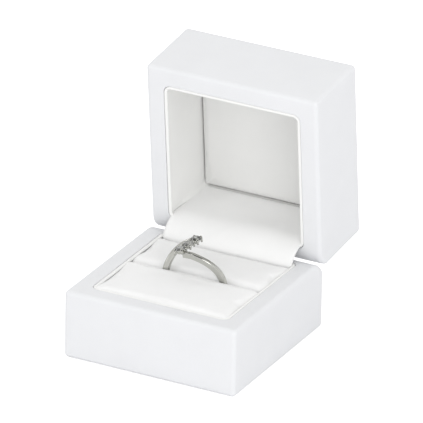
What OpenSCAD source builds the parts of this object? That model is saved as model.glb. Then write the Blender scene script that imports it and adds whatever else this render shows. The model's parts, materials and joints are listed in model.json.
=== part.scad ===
// Hinged ring box with a split presentation pad and a bypass ring standing in the slot.
// Origin: centre of the underside. +Z up, the opening faces -Y, the hinge is at the back.
// The lid is drawn closed and swung back to its open stop, which is the rest position.

/* [Box] */
// Width across the front
box_w = 56; // [54:1:64]
// Depth from front to back
box_d = 56; // [56:1:64]
// Height of the base up to its rim
base_h = 21.2; // [20.6:0.2:24]
// Height of the lid from its rim to its top
lid_h = 25.6; // [25:0.2:30]
// Radius of the outer edges
edge_r = 2; // [1.6:0.2:2.6]
// Radius of the two rims along the back, which roll past each other
rear_r = 5.5; // [5:0.1:5.6]
// Angle that the lid opens to
open_angle = 84.2; // [80:0.2:86]
// Space left between the two rims when the box is shut
rim_gap = 0.2; // [0.2:0.1:0.4]

/* [Wall] */
// Thickness of the leatherette covering
wrap_t = 0.8; // [0.6:0.1:0.9]
// Thickness of the moulded wall inside the covering
core_t = 4; // [3.8:0.1:4.2]
// Thickness of the moulded floor and ceiling
core_floor = 1.6; // [1.4:0.1:2]
// Thickness of the lining card
liner_t = 0.8; // [0.6:0.1:0.9]
// Radius of the rolled edge of the lining
bead_r = 0.6; // [0.5:0.05:0.65]

/* [Hinge] */
// Distance of the pin in from the back face
pin_inset = 2.5; // [2.4:0.1:2.6]
// Distance of the pin below the base rim
pin_drop = 0.3; // [0.2:0.05:0.35]
// Radius of the hinge pin
pin_r = 0.5; // [0.45:0.05:0.6]
// Radius of the knuckles
knuckle_r = 1.2; // [1.1:0.05:1.25]
// Length of the whole barrel
barrel_l = 36; // [32:1:38]
// Thickness of the hinge leaves
leaf_t = 0.5; // [0.4:0.05:0.55]

/* [Pads] */
// Height of the pads above the stage
pad_h = 13.4; // [13.2:0.1:13.6]
// Width of the slot between the pads
slot_w = 1; // [0.8:0.1:1.2]
// Radius of the rolled pad edges
pad_edge_r = 2.6; // [1.5:0.1:3]
// Thickness of the padding in the lid
panel_pad_t = 1.6; // [1.2:0.1:1.8]

/* [Ring] */
// Outer radius of the shank
ring_r = 10.5; // [9.5:0.1:10.6]
// Radial thickness of the shank
shank_t = 1.9; // [1.5:0.1:2]
// Width of the shank along the finger
shank_w = 2.3; // [1.8:0.1:2.4]
// Height of the ring's centre
ring_z = 19.3; // [19.2:0.1:19.8]

/* [Hidden] */
$fn = 48;
cut = 1;
fit_gap = 0.1;
wall = 2 * wrap_t + core_t;
open_w = box_w - 2 * wall;
open_d = box_d - 2 * wall;
open_r = 2.4;
core_w = box_w - 2 * wrap_t;
core_d = box_d - 2 * wrap_t;
cavity_w = core_w - 2 * core_t;
cavity_d = core_d - 2 * core_t;
cavity_r = open_r + wrap_t;
turn_in = 5;
turn_under = 6;
liner_w = open_w - 2 * fit_gap;
liner_d = open_d - 2 * fit_gap;
inner_w = liner_w - 2 * liner_t;
inner_d = liner_d - 2 * liner_t;
floor_z = wrap_t + core_floor;
lid_rim = base_h + rim_gap;
pin_y = box_d / 2 - pin_inset;
pin_z = base_h - pin_drop;
stage_top = base_h - pad_h + 0.2;
stage_t = 0.8;
pad_clear = 0.4;
strip_room = 2.1;
strip_t = 0.4;
strip_w = open_w - 3.8;
panel_card_t = 0.6;
pocket_w = barrel_l + 1;
pocket_drop = knuckle_r + 0.1;
side_knuckle_l = 9;
knuckle_gap = 0.3;
running_gap = 0.05;
flange_h = 7;
screw_r = 0.6;
screw_l = 3;
screw_head_r = 1.2;
screw_head_t = 0.3;
screw_x = 13;
cam_w = 5;
cam_r = 1.5;
spring_w = 4.6;
spring_t = 0.3;
spring_gap = 0.02;
window_w = 6.6;
spring_leg_h = 6;
shank_sides = 12;
shank_rings = 72;
rear_reach = 166;
front_reach = 192;
rear_aside = 3.8;
front_aside = 3.4;
rear_rise = 1.6;
front_rise = 0.2;
seats = [[-3.2, -3.4, 11.1], [-2.3, 0, 11.6], [-1.6, 3.4, 12]];
stone_r = 1.65;
crown_h = 0.35;
girdle_t = 0.08;
table_r = 1;
pavilion_h = 0.8;
collet_h = 0.9;
rail_r = 0.5;
rail_drop = 1.1;

// ---- Shared shapes ----

// Rectangle with one radius on its four corners
module rounded_rect(w, d, r) {
    square([w - 2 * r, d], center = true);
    square([w, d - 2 * r], center = true);
    for (x = [-1, 1], y = [-1, 1])
        translate([x * (w / 2 - r), y * (d / 2 - r)])
            circle(r);
}

// What a radius takes off a square corner that points to -X and -Y
module corner_waste(r) {
    difference() {
        translate([-cut, -cut])
            square(r + cut);
        translate([r, r])
            circle(r);
        translate([r, -2 * cut])
            square([cut, r + 3 * cut]);
        translate([-2 * cut, r])
            square([r + 3 * cut, cut]);
    }
}

// Upright outline of one half of the box, standing on its closed end, with its own radius at
// the rim's far end
module upright_outline(w, h, r, far_r) {
    difference() {
        translate([-w / 2, 0])
            square([w, h]);
        translate([-w / 2, 0])
            corner_waste(r);
        translate([w / 2, 0])
            mirror([1, 0])
                corner_waste(r);
        translate([-w / 2, h])
            mirror([0, 1])
                corner_waste(r);
        translate([w / 2, h])
            mirror([0, 1])
                mirror([1, 0])
                    corner_waste(far_r);
    }
}

// Block with every edge rounded and a larger radius along the rim at the back
module soft_block(w, d, h, r, back_r) {
    intersection() {
        linear_extrude(h)
            rounded_rect(w, d, r);
        rotate([90, 0, 90])
            linear_extrude(w, center = true)
                upright_outline(d, h, r, back_r);
        rotate([90, 0, 0])
            linear_extrude(d, center = true)
                upright_outline(w, h, r, r);
    }
}

// Upright tube with rounded corners
module rounded_tube(w, d, r, t, h) {
    linear_extrude(h)
        difference() {
            rounded_rect(w, d, r);
            rounded_rect(w - 2 * t, d - 2 * t, r - t);
        }
}

// Round bar along a rounded rectangle
module rolled_edge(w, d, r, bar_r) {
    for (x = [-1, 1])
        translate([x * w / 2, 0, 0])
            rotate([90, 0, 0])
                cylinder(r = bar_r, h = d - 2 * r, center = true);
    for (y = [-1, 1])
        translate([0, y * d / 2, 0])
            rotate([0, 90, 0])
                cylinder(r = bar_r, h = w - 2 * r, center = true);
    for (turn = [0 : 3])
        rotate([0, 0, 90 * turn])
            translate([(turn % 2 == 0 ? w : d) / 2 - r, (turn % 2 == 0 ? d : w) / 2 - r, 0])
                rotate_extrude(angle = 90)
                    translate([r, 0])
                        circle(bar_r);
}

// Covering over one half of the box: outside, rim and a turn-in, and a turn-under or a whole end
module covering(h, whole_end) {
    difference() {
        soft_block(box_w, box_d, h, edge_r, rear_r);
        translate([0, 0, wrap_t])
            soft_block(core_w, core_d, h - 2 * wrap_t, edge_r - wrap_t, rear_r - wrap_t);
        translate([0, 0, h / 2])
            linear_extrude(h)
                rounded_rect(open_w, open_d, open_r);
        if (!whole_end)
            translate([0, 0, -cut])
                linear_extrude(2 * cut)
                    rounded_rect(box_w - 2 * turn_under, box_d - 2 * turn_under, edge_r);
    }
    translate([0, 0, h - turn_in])
        rounded_tube(cavity_w, cavity_d, cavity_r, wrap_t, turn_in - wrap_t);
}

// Moulded wall and floor that the covering is glued to
module moulded_core(h) {
    difference() {
        translate([0, 0, wrap_t])
            soft_block(core_w, core_d, h - 2 * wrap_t, edge_r - wrap_t, rear_r - wrap_t);
        translate([0, 0, floor_z])
            linear_extrude(h)
                rounded_rect(cavity_w, cavity_d, cavity_r);
    }
}

// Lining wall with its rolled edge at the rim
module lining(h) {
    rounded_tube(liner_w, liner_d, open_r, liner_t, h - bead_r);
    translate([0, 0, h - bead_r])
        rolled_edge(liner_w - 2 * bead_r, liner_d - 2 * bead_r, open_r - bead_r, bead_r);
}

// Cut for the barrel and the leaf, in the base's own position
module barrel_pocket() {
    translate([-pocket_w / 2, cavity_d / 2 - wrap_t - cut, pin_z - pocket_drop])
        cube([pocket_w, box_d, box_d]);
    translate([-pocket_w / 2, open_d / 2 - cut, pin_z - pocket_drop - flange_h])
        cube([pocket_w, (cavity_d - open_d) / 2 + cut, flange_h + cut]);
    translate([-window_w / 2, open_d / 2 - cut, pin_z - cam_r - spring_t - 0.4])
        cube([window_w, box_d, box_d]);
}

// Mirrors the base's shapes about the pin, which gives the closed lid's
module upside_down() {
    translate([0, 0, pin_z])
        mirror([0, 0, 1])
            translate([0, 0, -pin_z])
                children();
}

// Swings what is drawn on the closed lid back to the open stop
module opened() {
    translate([0, pin_y, pin_z])
        rotate([-open_angle, 0, 0])
            translate([0, -pin_y, -pin_z])
                children();
}

// Stands one half of the box on its rim as the closed lid
module as_lid() {
    opened()
        translate([0, 0, lid_rim + lid_h])
            mirror([0, 0, 1])
                children();
}

// Screws at the given heights, heads towards the front
module leaf_screws() {
    for (x = [-screw_x, screw_x])
        translate([x, cavity_d / 2, pin_z - pocket_drop - flange_h / 2]) {
            rotate([-90, 0, 0])
                cylinder(r = screw_r, h = screw_l);
            translate([0, -leaf_t, 0])
                rotate([90, 0, 0])
                    cylinder(r = screw_head_r, h = screw_head_t);
            rotate([90, 0, 0])
                cylinder(r = screw_r, h = leaf_t + screw_head_t / 2);
        }
}

// Holes for those screws
module screw_holes(from_y, to_y) {
    for (x = [-screw_x, screw_x])
        translate([x, from_y, pin_z - pocket_drop - flange_h / 2])
            rotate([-90, 0, 0])
                cylinder(r = screw_r, h = to_y - from_y);
}

// Leaf bent over the wall: a shelf under the knuckles and a flange down the inside
module leaf_plate(w) {
    translate([-w / 2, cavity_d / 2 - leaf_t, pin_z - knuckle_r])
        cube([w, pin_y - cavity_d / 2 + leaf_t, leaf_t]);
    translate([-w / 2, cavity_d / 2 - leaf_t, pin_z - pocket_drop - flange_h + fit_gap])
        cube([w, leaf_t, flange_h + pocket_drop - knuckle_r]);
}

// Knuckle between two stations along the barrel
module knuckle(x0, x1, r) {
    translate([x0, pin_y, pin_z])
        rotate([0, 90, 0])
            cylinder(r = r, h = x1 - x0);
}

// ---- Base ----

module base_core() {
    color("#e9e9ea")
        difference() {
            moulded_core(base_h);
            barrel_pocket();
            screw_holes(cavity_d / 2 - cut, cavity_d / 2 + screw_l);
            translate([0, cavity_d / 2 - cut, pin_z - spring_leg_h])
                rotate([-90, 0, 0])
                    cylinder(r = screw_r, h = 2 + cut);
        }
}

module base_wrap() {
    color("#f3f4f6")
        difference() {
            covering(base_h, false);
            barrel_pocket();
        }
}

module base_bottom_sheet() {
    color("#dcdcde")
        linear_extrude(wrap_t)
            rounded_rect(box_w - 2 * turn_under - 2 * fit_gap, box_d - 2 * turn_under - 2 * fit_gap, edge_r);
}

module base_liner() {
    color("#eceae6")
        translate([0, 0, floor_z])
            lining(base_h - floor_z);
}

module insert_stage() {
    stage_w = inner_w - 2 * fit_gap;
    stage_back = inner_d / 2 - strip_room;
    stage_front = -inner_d / 2 + fit_gap;
    color("#d8d6d2") {
        translate([0, (stage_front + stage_back) / 2, stage_top - stage_t])
            linear_extrude(stage_t)
                rounded_rect(stage_w, stage_back - stage_front, open_r);
        for (x = [-stage_w / 2, stage_w / 2 - stage_t])
            translate([x, stage_front + open_r, floor_z])
                cube([stage_t, stage_back - stage_front - 2 * open_r, stage_top - floor_z]);
    }
}

// Pad between two stations in depth, with a pocket for the ring
module pad(y0, y1) {
    pad_w = inner_w - 2 * pad_clear;
    difference() {
        translate([0, (y0 + y1) / 2, stage_top])
            soft_block(pad_w, y1 - y0, pad_h, pad_edge_r - 1, pad_edge_r - 1);
        translate([0, 0, ring_z])
            rotate([90, 0, 0])
                cylinder(r = ring_r + 0.6, h = shank_w + 0.8, center = true);
        translate([-ring_r - 0.6, -shank_w / 2 - 0.4, ring_z])
            cube([2 * ring_r + 1.2, shank_w + 0.8, pad_h]);
    }
}

module front_pad() {
    color("#ebebeb")
        pad(-inner_d / 2 + pad_clear, -slot_w / 2);
}

module rear_pad() {
    color("#ececec")
        pad(slot_w / 2, inner_d / 2 - strip_room - pad_clear);
}

// ---- Hinge ----

module base_hinge_leaf() {
    color("#c9ccd0")
        difference() {
            union() {
                leaf_plate(barrel_l);
                for (side = [-1, 1])
                    knuckle(side > 0 ? barrel_l / 2 - side_knuckle_l : -barrel_l / 2,
                            side > 0 ? barrel_l / 2 : side_knuckle_l - barrel_l / 2, knuckle_r);
            }
            knuckle(-barrel_l, barrel_l, pin_r);
            knuckle(side_knuckle_l - barrel_l / 2, barrel_l / 2 - side_knuckle_l, knuckle_r + 0.15);
            screw_holes(cavity_d / 2 - leaf_t - cut, cavity_d / 2 + cut);
            translate([-window_w / 2, 0, pin_z - spring_leg_h - 2])
                cube([window_w, box_d, spring_leg_h + 4]);
        }
}

module lid_hinge_leaf() {
    middle_l = barrel_l - 2 * side_knuckle_l - 2 * knuckle_gap;
    color("#c9ccd0")
        opened()
            difference() {
                union() {
                    upside_down()
                        leaf_plate(barrel_l);
                    knuckle(-middle_l / 2, middle_l / 2, knuckle_r);
                    intersection() {
                        knuckle(-cam_w / 2, cam_w / 2, cam_r);
                        cam_flats();
                    }
                }
                knuckle(-barrel_l, barrel_l, pin_r + running_gap);
                for (side = [-1, 1])
                    knuckle(side > 0 ? middle_l / 2 : -barrel_l, side > 0 ? barrel_l : -middle_l / 2,
                            knuckle_r + 0.15);
                upside_down()
                    screw_holes(cavity_d / 2 - leaf_t - cut, cavity_d / 2 + cut);
            }
}

// Square of the cam: one flat meets the spring with the lid shut and the next with it open
module cam_flats() {
    translate([0, pin_y, pin_z])
        intersection_for (turn = [0, open_angle])
            rotate([turn, 0, 0])
                cube([2 * cam_w, 2 * knuckle_r, 2 * knuckle_r], center = true);
}

module hinge_pin() {
    color("#b9bcc0")
        knuckle(-barrel_l / 2, barrel_l / 2, pin_r);
}

module base_leaf_screws() {
    color("#a8abb0")
        leaf_screws();
}

module lid_leaf_screws() {
    color("#a8abb0")
        opened()
            upside_down()
                leaf_screws();
}

// Leaf spring that the cam rides on, bent down the inside of the wall
module cam_spring() {
    spring_top = pin_z - knuckle_r - spring_gap;
    color("#8f9398")
        difference() {
            union() {
                translate([-spring_w / 2, cavity_d / 2 - spring_t, spring_top - spring_t])
                    cube([spring_w, pin_y + knuckle_r - cavity_d / 2 + spring_t, spring_t]);
                translate([-spring_w / 2, cavity_d / 2 - spring_t, pin_z - spring_leg_h - 1.5])
                    cube([spring_w, spring_t, spring_leg_h + 1.5 - pin_z + spring_top]);
            }
            translate([0, cavity_d / 2 - spring_t - cut, pin_z - spring_leg_h])
                rotate([-90, 0, 0])
                    cylinder(r = screw_r, h = spring_t + 2 * cut);
        }
}

module spring_rivet() {
    color("#a8abb0")
        translate([0, cavity_d / 2, pin_z - spring_leg_h]) {
            rotate([-90, 0, 0])
                cylinder(r = screw_r, h = 2);
            rotate([90, 0, 0])
                cylinder(r = screw_r, h = spring_t + fit_gap);
            translate([0, -spring_t, 0])
                rotate([90, 0, 0])
                    cylinder(r = screw_head_r, h = screw_head_t);
        }
}

// ---- Lid ----

module lid_pocket() {
    translate([0, 0, lid_rim + lid_h])
        mirror([0, 0, 1])
            upside_down()
                barrel_pocket();
}

module lid_core() {
    color("#e9e9ea")
        as_lid()
            difference() {
                moulded_core(lid_h);
                lid_pocket();
                translate([0, 0, lid_rim + lid_h])
                    mirror([0, 0, 1])
                        upside_down()
                            screw_holes(cavity_d / 2 - cut, cavity_d / 2 + screw_l);
            }
}

module lid_wrap() {
    color("#f3f4f6")
        as_lid()
            difference() {
                covering(lid_h, true);
                lid_pocket();
            }
}

module lid_liner() {
    color("#e3e3e0")
        as_lid()
            translate([0, 0, floor_z])
                lining(lid_h - floor_z);
}

module lid_panel_card() {
    color("#d8d6d2")
        as_lid()
            translate([0, 0, floor_z])
                linear_extrude(panel_card_t)
                    rounded_rect(inner_w - 2 * fit_gap, inner_d - 2 * fit_gap, open_r - liner_t);
}

module lid_panel_pad() {
    color("#e4e4e3")
        as_lid()
            translate([0, 0, floor_z + panel_card_t])
                linear_extrude(panel_pad_t)
                    rounded_rect(inner_w - 2 * pad_clear, inner_d - 2 * pad_clear, open_r - liner_t);
}

// Place of a point of the closed lid once the lid is open, as distance back and height
function opened_at(y, z) = [
    pin_y + (y - pin_y) * cos(open_angle) + (z - pin_z) * sin(open_angle),
    pin_z - (y - pin_y) * sin(open_angle) + (z - pin_z) * cos(open_angle)
];

// Middle line of the fabric strip over the hinge, from behind the rear pad up into the lid
strip_line = [
    [inner_d / 2 - strip_room / 2, stage_top + 1],
    [inner_d / 2 - strip_room / 2, base_h - 1],
    [inner_d / 2 - 0.3, base_h + 0.7],
    opened_at(inner_d / 2 - 1.1, lid_rim + 0.2),
    opened_at(inner_d / 2 - 0.7, lid_rim + 4),
    opened_at(inner_d / 2 - 0.5, lid_rim + 12)
];

// Unit direction square to a run of that line
function strip_side(a, b) = let (d = (b - a) / norm(b - a)) [-d[1], d[0]];

// Side direction at one of its points
function strip_normal(i) = let (
    before = strip_side(strip_line[max(i - 1, 0)], strip_line[max(i, 1)]),
    after = strip_side(strip_line[min(i, len(strip_line) - 2)], strip_line[min(i + 1, len(strip_line) - 1)]),
    both = before + after
) both / norm(both);

module hinge_strip() {
    last = len(strip_line) - 1;
    color("#f1f1f0")
        rotate([90, 0, 90])
            linear_extrude(strip_w, center = true)
                polygon([
                    for (i = [0 : last]) strip_line[i] + strip_normal(i) * strip_t / 2,
                    for (i = [last : -1 : 0]) strip_line[i] - strip_normal(i) * strip_t / 2
                ]);
}

// ---- Ring ----

// Part of the way, from 0 to 1, that an end of the shank has moved aside
function aside(turn) = let (s = min(max((abs(turn) - 97) / 75, 0), 1)) s * s * (3 - 2 * s);

// Scale of the shank's section, which narrows to its two ends
function taper(turn) = 1 - 0.4 * pow(abs(turn) / front_reach, 4);

// Ring of points round the shank's section, turn degrees from the bottom of the ring
function shank_section(turn) = [
    for (k = [0 : shank_sides - 1])
        let (
            a = 360 * k / shank_sides,
            rise = (turn > 0 ? front_rise : rear_rise) * aside(turn),
            shift = (turn > 0 ? -front_aside : rear_aside) * aside(turn),
            out = ring_r - shank_t / 2 + rise + cos(a) * shank_t / 2 * taper(turn)
        )
        [out * sin(turn), sin(a) * shank_w / 2 * taper(turn) + shift, ring_z - out * cos(turn)]
];

module ring_shank() {
    points = [
        for (i = [0 : shank_rings])
            for (p = shank_section(-rear_reach + (rear_reach + front_reach) * i / shank_rings)) p
    ];
    sides = [
        for (i = [0 : shank_rings - 1], k = [0 : shank_sides - 1])
            let (n = (k + 1) % shank_sides)
            [i * shank_sides + k, i * shank_sides + n, (i + 1) * shank_sides + n, (i + 1) * shank_sides + k]
    ];
    first = [for (k = [shank_sides - 1 : -1 : 0]) k];
    last = [for (k = [0 : shank_sides - 1]) shank_rings * shank_sides + k];
    color("#c8cacc")
        polyhedron(points = points, faces = concat([first], sides, [last]), convexity = 6);
}

// Places a child on each stone's seat, square to the ring's curve
module on_seats() {
    for (seat = seats)
        translate([seat[0], seat[1], ring_z + seat[2]])
            rotate([0, atan2(seat[0], seat[2]), 0])
                children();
}

// Rail under the stones that joins their collets
module seat_rail() {
    run = seats[len(seats) - 1] - seats[0];
    translate([seats[0][0], seats[0][1], ring_z + seats[0][2] - rail_drop])
        rotate([0, acos(run[2] / norm(run)), atan2(run[1], run[0])])
            cylinder(r = rail_r, h = norm(run));
}

module ring_settings() {
    color("#d4d6d8")
        difference() {
            union() {
                on_seats()
                    translate([0, 0, -collet_h - 0.4])
                        cylinder(r1 = 0.9, r2 = stone_r + 0.12, h = collet_h + 0.4);
                seat_rail();
            }
            on_seats()
                translate([0, 0, -pavilion_h - 0.05])
                    cylinder(r1 = 0.1, r2 = stone_r + 0.04, h = pavilion_h + 0.06);
        }
}

module ring_stones() {
    color("#f4f8fb")
        on_seats()
            translate([0, 0, 0.02])
                rotate_extrude()
                    polygon([
                        [0, -pavilion_h],
                        [stone_r, 0],
                        [stone_r, girdle_t],
                        [table_r, girdle_t + crown_h],
                        [0, girdle_t + crown_h]
                    ]);
}

base_core();
base_wrap();
base_bottom_sheet();
base_liner();
insert_stage();
front_pad();
rear_pad();
base_hinge_leaf();
base_leaf_screws();
cam_spring();
spring_rivet();
hinge_pin();
lid_hinge_leaf();
lid_leaf_screws();
lid_core();
lid_wrap();
lid_liner();
lid_panel_card();
lid_panel_pad();
hinge_strip();
ring_shank();
ring_settings();
ring_stones();
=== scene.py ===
import json
import math

import bmesh
import bpy
from mathutils import Matrix, Vector, noise


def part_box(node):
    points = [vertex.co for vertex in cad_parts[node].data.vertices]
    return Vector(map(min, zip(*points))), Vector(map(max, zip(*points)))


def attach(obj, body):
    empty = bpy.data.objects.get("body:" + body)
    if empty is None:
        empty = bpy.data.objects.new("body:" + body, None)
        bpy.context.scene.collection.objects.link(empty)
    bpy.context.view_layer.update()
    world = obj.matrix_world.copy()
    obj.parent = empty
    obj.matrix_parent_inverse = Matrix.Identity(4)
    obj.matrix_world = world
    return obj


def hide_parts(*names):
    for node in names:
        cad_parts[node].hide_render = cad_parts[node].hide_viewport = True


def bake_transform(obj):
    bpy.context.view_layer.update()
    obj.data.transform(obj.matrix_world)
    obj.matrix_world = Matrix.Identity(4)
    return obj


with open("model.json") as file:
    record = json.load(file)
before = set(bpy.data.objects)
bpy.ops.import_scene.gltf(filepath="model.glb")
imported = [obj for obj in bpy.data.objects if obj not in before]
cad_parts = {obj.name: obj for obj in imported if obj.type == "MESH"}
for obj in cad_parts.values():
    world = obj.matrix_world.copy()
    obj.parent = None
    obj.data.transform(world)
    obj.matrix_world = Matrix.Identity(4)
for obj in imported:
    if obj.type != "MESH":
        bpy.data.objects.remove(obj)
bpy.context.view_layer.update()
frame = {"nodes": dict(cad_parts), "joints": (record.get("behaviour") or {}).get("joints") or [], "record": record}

bl_info = {
    "name": "Ring Gift Box",
    "version": (1, 0, 0),
    "blender": (4, 5, 0),
    "location": "3D View > Sidebar > Gift Box",
    "description": "Leatherette ring box with padded insert, lined lid, cloth hinge strip and a bypass ring",
    "category": "Object",
}

MM = 0.001
BASE_LOW, BASE_HIGH = (Vector(corner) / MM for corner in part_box("base_wrap"))
STAGE_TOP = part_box("insert_stage")[1][2] / MM
HINGE = next(joint for joint in frame["joints"] if joint["name"] == "lid_hinge")
PIN = Vector(HINGE["pos_m"]) / MM
OPEN_ANGLE = math.radians(HINGE["range_deg"][1])
HALF_W = (BASE_HIGH.x - BASE_LOW.x) / 2
HALF_D = (BASE_HIGH.y - BASE_LOW.y) / 2
BASE_H = BASE_HIGH.z
LINER_HALF = (Vector(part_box("base_liner")[1]) / MM).x

# The box's own sizes in millimetres. The lining is thinner than its CAD solid.
LID_H = 25.6
RIM_GAP = 0.2
FLOOR_Z = 2.4
WRAP_T = 0.8
LINER_T = 0.4
BEAD_R = 0.55
POCKET_HALF = 18.5
POCKET_DROP = 1.3
OPENING_R = 2.4
PANEL_CARD_T = 0.6
PANEL_PAD_T = 1.6
INNER_HALF = LINER_HALF - LINER_T
RING_Z = 19.3
RING_R = 10.5
SEATS = [Vector((-3.2, -3.4, 11.1)), Vector((-2.3, 0, 11.6)), Vector((-1.6, 3.4, 12.0))]
RAIL_R = 0.5
RAIL_DROP = 1.1


# ---- What a user would change ----

class GiftBoxShell(bpy.types.PropertyGroup):
    wall: bpy.props.FloatProperty(
        name="Wall", description="Rim from the outside to the lining", default=5.6 * MM, unit="LENGTH")
    edge: bpy.props.FloatProperty(
        name="Edge radius", description="Radius of the outer edges", default=1.3 * MM, unit="LENGTH")
    hinge_edge: bpy.props.FloatProperty(
        name="Hinge edge radius", description="Radius of the rims along the back", default=5.5 * MM, unit="LENGTH")
    colour: bpy.props.FloatVectorProperty(
        name="Leatherette", description="Colour of the covering", subtype="COLOR", size=3,
        default=(0.80, 0.807, 0.822))
    lining: bpy.props.FloatVectorProperty(
        name="Lining", description="Colour of the lining cloth", subtype="COLOR", size=3,
        default=(0.90, 0.90, 0.886))


class GiftBoxPads(bpy.types.PropertyGroup):
    crown: bpy.props.FloatProperty(
        name="Crown", description="Rise of the pads above the base rim", default=0.3 * MM, unit="LENGTH")
    slot: bpy.props.FloatProperty(
        name="Slot", description="Gap between the two pads", default=0.3 * MM, unit="LENGTH")
    swell: bpy.props.FloatProperty(
        name="Swell", description="Most that the filling may push the cloth out", default=0.9 * MM, unit="LENGTH")
    colour: bpy.props.FloatVectorProperty(
        name="Pad cloth", description="Colour of the pads", subtype="COLOR", size=3,
        default=(0.89, 0.89, 0.887))


class GiftBoxRing(bpy.types.PropertyGroup):
    width: bpy.props.FloatProperty(
        name="Band width", description="Width of the shank along the finger", default=1.95 * MM, unit="LENGTH")
    thickness: bpy.props.FloatProperty(
        name="Band thickness", description="Radial thickness of the shank", default=1.9 * MM, unit="LENGTH")
    stone: bpy.props.FloatProperty(
        name="Stone radius", description="Radius of each stone's girdle", default=1.72 * MM, unit="LENGTH")
    prongs: bpy.props.IntProperty(
        name="Prongs", description="Prongs that hold each stone", default=4, min=3, max=8)
    metal: bpy.props.FloatVectorProperty(
        name="Metal", description="Colour of the metal", subtype="COLOR", size=3, default=(0.55, 0.55, 0.515))


# ---- Shared mesh work ----

def outline(half_w, half_d, radius, corner_steps=8, side_steps=24):
    """Points round a rounded rectangle, anticlockwise from its right side, closer together towards the hinge."""
    corners = [(1, 1), (-1, 1), (-1, -1), (1, -1)]
    points = []
    for turn, (sx, sy) in enumerate(corners):
        centre = Vector((sx * (half_w - radius), sy * (half_d - radius)))
        for step in range(corner_steps + 1):
            angle = (turn + step / corner_steps) * math.pi / 2
            points.append(centre + radius * Vector((math.cos(angle), math.sin(angle))))
        nx, ny = corners[(turn + 1) % 4]
        after = Vector((nx * (half_w - radius), ny * (half_d - radius)))
        angle = (turn + 1) * math.pi / 2
        target = after + radius * Vector((math.cos(angle), math.sin(angle)))
        begin = points[-1]
        for step in range(1, side_steps):
            share = step / side_steps
            if turn == 1:
                share = share ** 2
            if turn == 3:
                share = 1 - (1 - share) ** 2
            points.append(begin.lerp(target, share))
    return points


def loft(loops, closed=False):
    """Vertices and quads through loops that all have the same number of points."""
    count = len(loops[0])
    verts = [Vector(point) for loop in loops for point in loop]
    rows = len(loops) if closed else len(loops) - 1
    faces = []
    for row in range(rows):
        following = (row + 1) % len(loops)
        for k in range(count):
            n = (k + 1) % count
            faces.append((row * count + k, row * count + n, following * count + n, following * count + k))
    return verts, faces


def add_part(verts, faces, own, own_faces):
    """Adds one part's vertices and faces to a piece's lists."""
    shift = len(verts)
    verts += own
    faces += [tuple(i + shift for i in face) for face in own_faces]


def new_piece(name, verts, faces, material, place=None, merge=1e-4):
    """Mesh object from millimetre points, with doubles merged and faces turned outwards."""
    work = bmesh.new()
    made = [work.verts.new((place @ v) if place else v) for v in verts]
    for face in faces:
        if len(set(face)) > 2:
            work.faces.new([made[i] for i in face])
    bmesh.ops.remove_doubles(work, verts=work.verts, dist=merge)
    bmesh.ops.recalc_face_normals(work, faces=work.faces)
    bmesh.ops.scale(work, vec=(MM, MM, MM), verts=work.verts)
    for face in work.faces:
        face.smooth = True
    mesh = bpy.data.meshes.new(name)
    work.to_mesh(mesh)
    work.free()
    piece = bpy.data.objects.new(name, mesh)
    bpy.context.scene.collection.objects.link(piece)
    mesh.materials.append(material)
    return piece


def settle(piece):
    """Turns the piece's modifiers into plain mesh."""
    depsgraph = bpy.context.evaluated_depsgraph_get()
    mesh = bpy.data.meshes.new_from_object(piece.evaluated_get(depsgraph))
    piece.modifiers.clear()
    piece.data = mesh
    return piece


def thicken(piece, thickness):
    """Gives a surface a wall on its inner side."""
    wall = piece.modifiers.new("wall", "SOLIDIFY")
    wall.thickness = thickness * MM
    wall.offset = -1
    wall.use_even_offset = True
    return settle(piece)


def carve(piece, low, high, place=None):
    """Cuts a box out of a piece, given its two corners in millimetres."""
    cutter = bpy.data.meshes.new("cutter")
    work = bmesh.new()
    bmesh.ops.create_cube(work, size=1)
    centre, size = (low + high) / 2, high - low
    box = Matrix.Translation(centre) @ Matrix.Diagonal((*size, 1))
    bmesh.ops.transform(work, matrix=Matrix.Scale(MM, 4) @ (place or Matrix()) @ box, verts=work.verts)
    bmesh.ops.recalc_face_normals(work, faces=work.faces)
    work.to_mesh(cutter)
    work.free()
    block = bpy.data.objects.new("cutter", cutter)
    bpy.context.scene.collection.objects.link(block)
    cut = piece.modifiers.new("cut", "BOOLEAN")
    cut.operation = "DIFFERENCE"
    cut.solver = "MANIFOLD"
    cut.object = block
    before = len(piece.data.vertices)
    settle(piece)
    if not before / 2 < len(piece.data.vertices) != before:
        raise RuntimeError(piece.name + " was not cut")
    bpy.data.objects.remove(block)
    for face in piece.data.polygons:
        face.use_smooth = True
    piece.data.set_sharp_from_angle(angle=math.radians(35))
    return piece


def lid_place():
    """Matrix from a half drawn standing on its closed end to the open lid, in millimetres."""
    rim = BASE_H + RIM_GAP
    shut = Matrix.Translation((0, 0, rim + LID_H)) @ Matrix.Diagonal((1, 1, -1, 1))
    swing = Matrix.Translation(PIN) @ Matrix.Rotation(-OPEN_ANGLE, 4, "X") @ Matrix.Translation(-PIN)
    return swing @ shut


# ---- Materials ----

MADE = {}
FLOAT = "NodeSocketFloat"
COLOUR = "NodeSocketColor"


def socket_in(tree, name, kind, default):
    socket = tree.interface.new_socket(name=name, in_out="INPUT", socket_type=kind)
    socket.default_value = default


def add_node(tree, kind, inputs=None, **settings):
    """New node with its settings, and each input as a plain value or another node's output."""
    node = tree.nodes.new(kind)
    for name, value in settings.items():
        setattr(node, name, value)
    for key, value in (inputs or {}).items():
        if isinstance(value, bpy.types.NodeSocket):
            tree.links.new(value, node.inputs[key])
        else:
            node.inputs[key].default_value = value
    return node


def shader_group(name, inputs, outputs):
    """Empty shader group with named sockets, and what it takes in."""
    tree = bpy.data.node_groups.new(name, "ShaderNodeTree")
    for label, kind, default in inputs:
        socket_in(tree, label, kind, default)
    for label, kind in outputs:
        tree.interface.new_socket(name=label, in_out="OUTPUT", socket_type=kind)
    return tree, add_node(tree, "NodeGroupInput").outputs


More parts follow.
